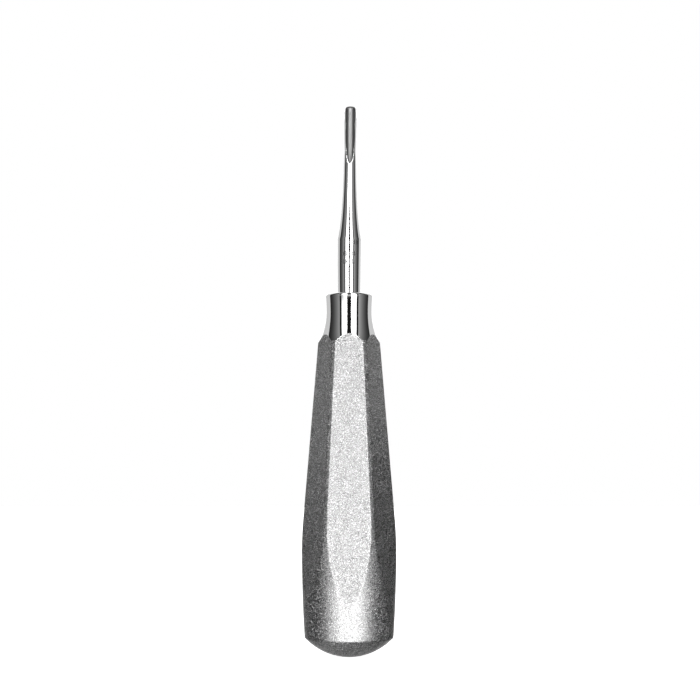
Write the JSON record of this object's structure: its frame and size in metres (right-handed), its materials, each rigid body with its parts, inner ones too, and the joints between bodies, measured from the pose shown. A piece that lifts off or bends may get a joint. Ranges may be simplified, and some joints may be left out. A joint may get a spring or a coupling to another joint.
{
  "type": "dental elevator",
  "caption": "Straight dental elevator with a narrow gouge blade, a polished waisted collar and a hollow, tapered six-sided steel handle.",
  "frame": {"origin": "lowest point of the domed butt, on the axis of the instrument", "axes": "+Z along the instrument from the butt to the tip; the gouge of the blade and one flat of the handle face -Y; the seam between the handle shells is the plane Y = 0"},
  "size_m": [0.0254, 0.0248, 0.15],
  "materials": {
    "working_end": "polished stainless steel",
    "collar": "mirror polished stainless steel",
    "pin": "ground stainless steel",
    "handle": "bead-blasted stainless steel",
    "cap": "bead-blasted stainless steel"
  },
  "bodies": {
    "root": {"working_end": "working_end", "collar": "collar", "tang_pin": "pin", "handle_shell_front": "handle", "handle_shell_back": "handle", "end_cap": "cap"}
  },
  "joints": []
}
